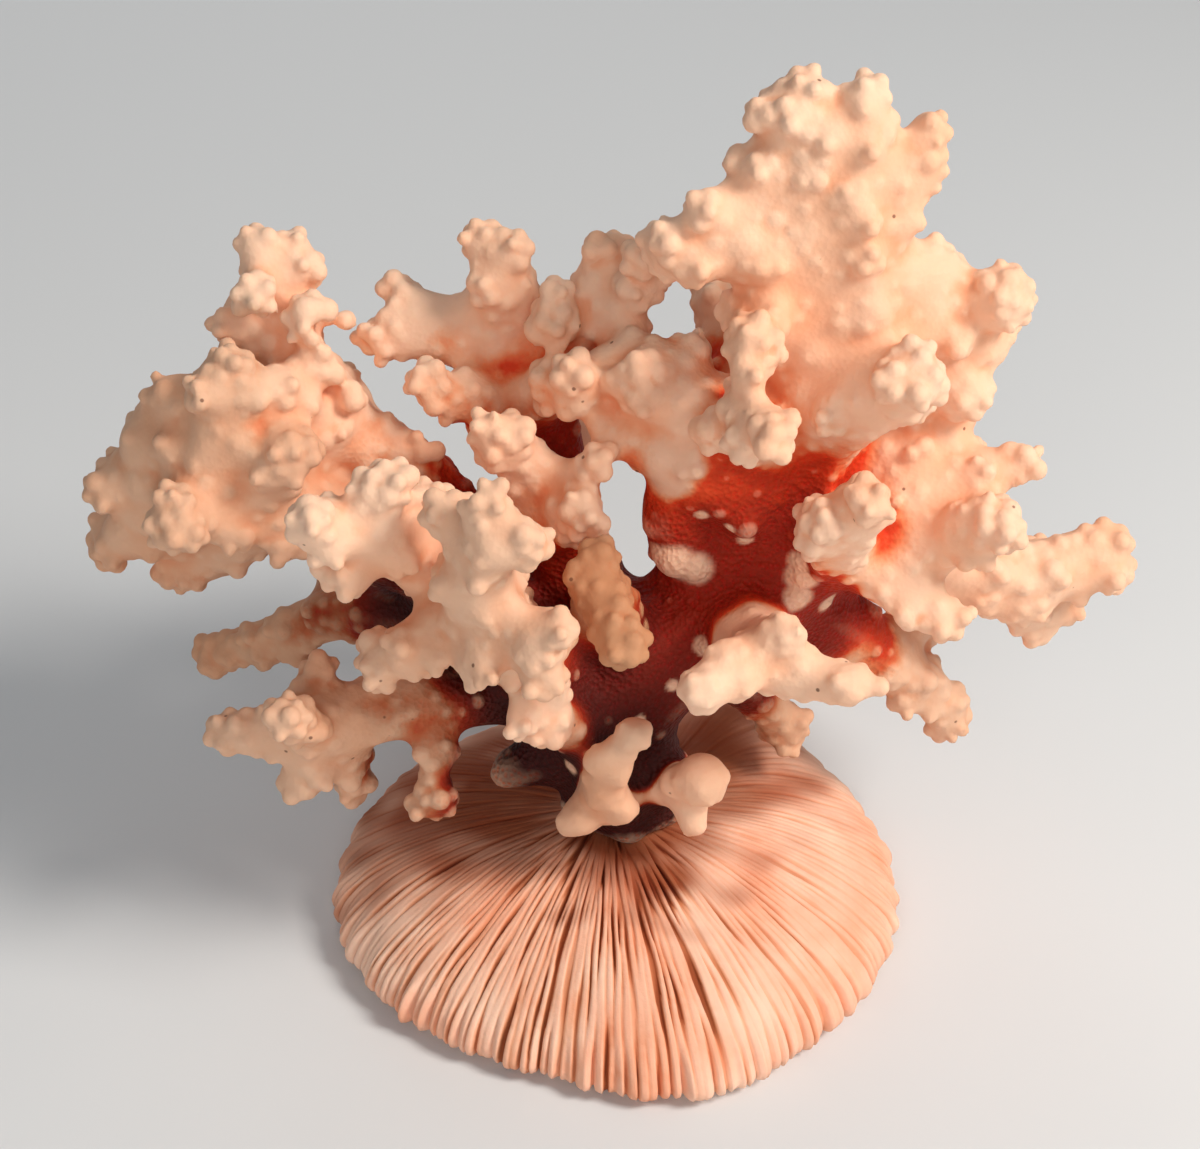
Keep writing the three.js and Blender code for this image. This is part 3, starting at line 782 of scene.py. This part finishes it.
mushroomPiece = buildMushroom()
print(f"mushroom coral: {len(mushroomPiece.data.polygons)} faces")


# ---------- materials

def newMaterial(name):
    # a material with an empty node tree
    material = bpy.data.materials.new(name)
    material.use_nodes = True
    tree = material.node_tree
    tree.nodes.clear()
    return material, tree


def colourStops(node, stops):
    # sets a colour ramp's stops from (place, hex colour) pairs in order
    elements = node.color_ramp.elements
    while len(elements) > 1:
        elements.remove(elements[-1])
    elements[0].position, elements[0].color = stops[0][0], linear(stops[0][1])
    for place, colour in stops[1:]:
        elements.new(place).color = linear(colour)
    return node.outputs["Color"]


def branchCoralFinish():
    # Aragonite laid down by coral polyps and dried: matt and chalky, with tiny cups. It is cream to peach where it
    # grew last and rust red to maroon at its heart. Painted shade darkens and warms its creases, and darkens the heart
    # towards near-black lower down and to the left, where the branches shade it.
    material, tree = newMaterial("Aragonite branch coral, grown and dried")
    place = addNode(tree, "ShaderNodeTexCoord").outputs["Object"]
    axes = addNode(tree, "ShaderNodeSeparateXYZ", {0: place}).outputs
    height = addNode(tree, "ShaderNodeMath", {0: axes["X"], 1: 0.5, 2: axes["Z"]}, operation="MULTIPLY_ADD").outputs[0]
    red, crest, wart, worn = (addNode(tree, "ShaderNodeAttribute", attribute_name=name).outputs["Fac"]
                              for name in ("red", "crest", "wart", "dullAndShade"))
    patchy = addNode(tree, "ShaderNodeTexNoise", {"Vector": place, "Scale": 150.0, "Detail": 6.0}).outputs["Fac"]
    broad = addNode(tree, "ShaderNodeTexNoise", {"Vector": place, "Scale": 45.0, "Detail": 3.0}).outputs["Fac"]
    cups = addNode(tree, "ShaderNodeTexVoronoi", {"Vector": place, "Scale": 1100.0}).outputs["Distance"]
    # the heart's red spreads in patches, and the crests keep clear of it longest
    stain = addNode(tree, "ShaderNodeMath", {0: patchy, 1: 0.7, 2: red}, operation="MULTIPLY_ADD").outputs[0]
    stain = addNode(tree, "ShaderNodeMath", {0: crest, 1: -0.3, 2: stain}, operation="MULTIPLY_ADD").outputs[0]
    stain = addNode(tree, "ShaderNodeMath", {0: stain, 1: 0.22}, operation="SUBTRACT").outputs[0]
    body = colourStops(addNode(tree, "ShaderNodeValToRGB", {"Fac": stain}), (
        (0.08, "#f5cbad"), (0.24, "#f0b48f"), (0.38, "#ea8a5c"), (0.5, "#db4a22"), (0.68, "#bc3613"),
        (0.95, "#9a260c")))
    holes = addNode(tree, "ShaderNodeTexVoronoi", {"Vector": place, "Scale": 190.0}).outputs
    # each of these rises from 0 at the first number to the third at the second number
    low, creaseShade, pale, tint, speck, pit = (
        addNode(tree, "ShaderNodeMapRange",
                {"Value": value, "From Min": start, "From Max": end, "To Max": most}).outputs[0]
        for value, start, end, most in (
            (height, 0.075, 0.048, 0.95), (crest, 0.5, 0.05, 0.35), (crest, 0.6, 1.0, 0.45),
            (broad, 0.4, 0.7, 0.4), (cups, 0.55, 0.1, 0.8), (holes["Distance"], 0.075, 0.045, 0.75)))
    # painted shade: lower down and to the left, where the branches shade it, the heart is mixed towards near-black;
    # only part of this is its own maroon
    sunk = addNode(tree, "ShaderNodeMath", {0: low, 1: red}, operation="MULTIPLY").outputs[0]
    pale = addNode(tree, "ShaderNodeMath", {0: wart, 1: 0.95, 2: pale}, operation="MULTIPLY_ADD",
                   use_clamp=True).outputs[0]
    # a pinhole here and there, half a millimetre wide, where a boring worm went in
    chance = addNode(tree, "ShaderNodeSeparateColor", {0: holes["Color"]}).outputs[0]
    chosen = addNode(tree, "ShaderNodeMath", {0: chance, 1: 0.62}, operation="GREATER_THAN").outputs[0]
    pit = addNode(tree, "ShaderNodeMath", {0: pit, 1: chosen}, operation="MULTIPLY").outputs[0]
    # the cups show as a dark and light speckle, strongest on the heart and missing on the warts
    grainy = addNode(tree, "ShaderNodeMath", {0: speck, 1: red}, operation="MULTIPLY").outputs[0]
    plain = addNode(tree, "ShaderNodeMath", {0: 1.0, 1: wart}, operation="SUBTRACT").outputs[0]
    grainy = addNode(tree, "ShaderNodeMath", {0: grainy, 1: plain}, operation="MULTIPLY").outputs[0]
    for amount, colour, blend in (
            (sunk, "#2c0704", "MIX"),         # painted shade: low and left the heart is mixed towards near-black, partly its own maroon
            (creaseShade, "#f4ba92", "MULTIPLY"),    # painted shade: creases are darkened and warmed
            (pale, "#f8ceb0", "MIX"),         # crests and warts are pale
            (tint, "#f5c196", "MULTIPLY"),    # broad warmer patches
            (worn, "#c9b29c", "MULTIPLY"),    # long broken branches are browner, and painted shade darkens the low, shaded ones
            (pit, "#5c2c18", "MIX"),
            (grainy, "#e0764c", "SOFT_LIGHT")):
        body = addNode(tree, "ShaderNodeMix", {0: amount, 6: body, 7: linear(colour)}, data_type="RGBA",
                       blend_type=blend).outputs[2]
    rough = addNode(tree, "ShaderNodeMath", {0: red, 1: 0.7, 2: 0.12}, operation="MULTIPLY_ADD").outputs[0]
    relief = addNode(tree, "ShaderNodeBump", {"Height": cups, "Strength": rough, "Distance": 0.6 * mm})
    shader = addNode(tree, "ShaderNodeBsdfPrincipled",
                     {"Base Color": body, "Roughness": 0.7, "IOR": 1.5, "Specular IOR Level": 0.25,
                      "Normal": relief.outputs[0], "Subsurface Weight": 0.12,
                      "Subsurface Radius": (1.0, 0.45, 0.25), "Subsurface Scale": 1.8 * mm})
    addNode(tree, "ShaderNodeOutputMaterial", {"Surface": shader.outputs[0]})
    return material


def mushroomCoralFinish():
    # Aragonite septa of a mushroom coral, dried: thin plates on edge, with pale worn crests. Painted shade browns the
    # grooves between them, and painted shadow browns the dome round the trunk's foot.
    material, tree = newMaterial("Aragonite mushroom coral, grown and dried")
    place = addNode(tree, "ShaderNodeTexCoord").outputs["Object"]
    ridge = addNode(tree, "ShaderNodeAttribute", attribute_name="ridge").outputs["Fac"]
    patchy = addNode(tree, "ShaderNodeTexNoise", {"Vector": place, "Scale": 70.0, "Detail": 4.0}).outputs["Fac"]
    # painted shade: the ramp darkens the grooves between the septa to brown and keeps the crests pale
    body = colourStops(addNode(tree, "ShaderNodeValToRGB", {"Fac": ridge}), (
        (0.0, "#96522f"), (0.3, "#cb855e"), (0.6, "#eeb391"), (0.92, "#f8ccb2")))
    shade = addNode(tree, "ShaderNodeMapRange", {"Value": patchy, "From Min": 0.35, "From Max": 0.7, "To Max": 0.6})
    # painted shadow: the crown's shadow on the dome is multiplied in as brown
    crownShadow = addNode(tree, "ShaderNodeAttribute", attribute_name="crownShadow")
    for amount, colour in ((shade.outputs[0], "#f2b491"), (crownShadow.outputs["Fac"], "#a5765c")):
        body = addNode(tree, "ShaderNodeMix", {0: amount, 6: body, 7: linear(colour)}, data_type="RGBA",
                       blend_type="MULTIPLY").outputs[2]
    grain = addNode(tree, "ShaderNodeTexNoise", {"Vector": place, "Scale": 1400.0, "Detail": 3.0}).outputs["Fac"]
    relief = addNode(tree, "ShaderNodeBump", {"Height": grain, "Strength": 0.3, "Distance": 0.3 * mm})
    shader = addNode(tree, "ShaderNodeBsdfPrincipled",
                     {"Base Color": body, "Roughness": 0.8, "IOR": 1.5, "Specular IOR Level": 0.25,
                      "Normal": relief.outputs[0], "Subsurface Weight": 0.1,
                      "Subsurface Radius": (1.0, 0.5, 0.3), "Subsurface Scale": 1 * mm})
    addNode(tree, "ShaderNodeOutputMaterial", {"Surface": shader.outputs[0]})
    return material


coralFinish = branchCoralFinish()
for name, piece in coralPieces.items():
    piece.data.materials.append(coralFinish)
    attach(piece, "root")
    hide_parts(name)
mushroomPiece.data.materials.append(mushroomCoralFinish())
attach(mushroomPiece, "root")
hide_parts("mushroom_coral_base")
print("materials set")


# ---------- floor, light and camera

studio = {
    "floorSize": 3.0,
    "floorColour": "#dfe2e4",
    "elevation": 33.0,               # degrees above the horizon
    "distance": 420 * mm,
    "aim": (-2.6 * mm, -3.4 * mm, -7.9 * mm),   # from the middle of the whole
    "lens": 75.75,                   # millimetres, as is the sensor's width
    "sensor": 36,
    "lamps": {                       # each one's place, aim, size in metres, power in watts and colour
        "key": ((0.6, -0.3, 0.68), (0, 0, 0.08), 0.28, 7.6, (1.0, 0.93, 0.86)),
        "fill": ((-0.1, -0.95, 0.5), (0, 0, 0.08), 0.6, 3.0, (1.0, 0.97, 0.94)),
        "back": ((-0.2, 0.8, 0.6), (0, 0, 0.09), 0.6, 1.5, (1.0, 0.97, 0.95)),
    },
    "skyColour": "#dbe0e4",
    "skyStrength": 0.28,
}


def buildFloor():
    half = studio["floorSize"] / 2
    corners = np.array([[-half, -half, 0], [half, -half, 0], [half, half, 0], [-half, half, 0]])
    floor = makeObject("floor", corners, np.array([[0, 1, 2, 3]]))
    material, tree = newMaterial("Matt pale paper backdrop")
    shader = addNode(tree, "ShaderNodeBsdfPrincipled", {"Base Color": linear(studio["floorColour"]), "Roughness": 0.9})
    addNode(tree, "ShaderNodeOutputMaterial", {"Surface": shader.outputs[0]})
    floor.data.materials.append(material)


def addLamp(name, place, aim, size, power, colour):
    light = bpy.data.lights.new(name, "AREA")
    light.size = size
    light.energy = power
    light.color = colour
    lamp = bpy.data.objects.new(name, light)
    lamp.location = place
    lamp.rotation_euler = (Vector(aim) - Vector(place)).to_track_quat("-Z", "Y").to_euler()
    bpy.context.scene.collection.objects.link(lamp)


def buildCamera():
    tilt = math.radians(studio["elevation"])
    aim = wholeMiddle + Vector(studio["aim"])
    camera = bpy.data.objects.new("camera", bpy.data.cameras.new("camera"))
    camera.data.lens = studio["lens"]
    camera.data.sensor_width = studio["sensor"]
    camera.location = aim + studio["distance"] * Vector((0, -math.cos(tilt), math.sin(tilt)))
    camera.rotation_euler = (math.pi / 2 - tilt, 0, 0)
    camera.data.clip_start = 0.01
    bpy.context.scene.collection.objects.link(camera)
    bpy.context.scene.camera = camera


buildFloor()
buildCamera()
for name, settings in studio["lamps"].items():
    addLamp(name, *settings)
world = bpy.data.worlds.new("studio")
world.use_nodes = True
sky = world.node_tree.nodes["Background"].inputs
sky["Color"].default_value = linear(studio["skyColour"])
sky["Strength"].default_value = studio["skyStrength"]
bpy.context.scene.world = world
bpy.context.scene.view_settings.view_transform = "Standard"
print("studio set")
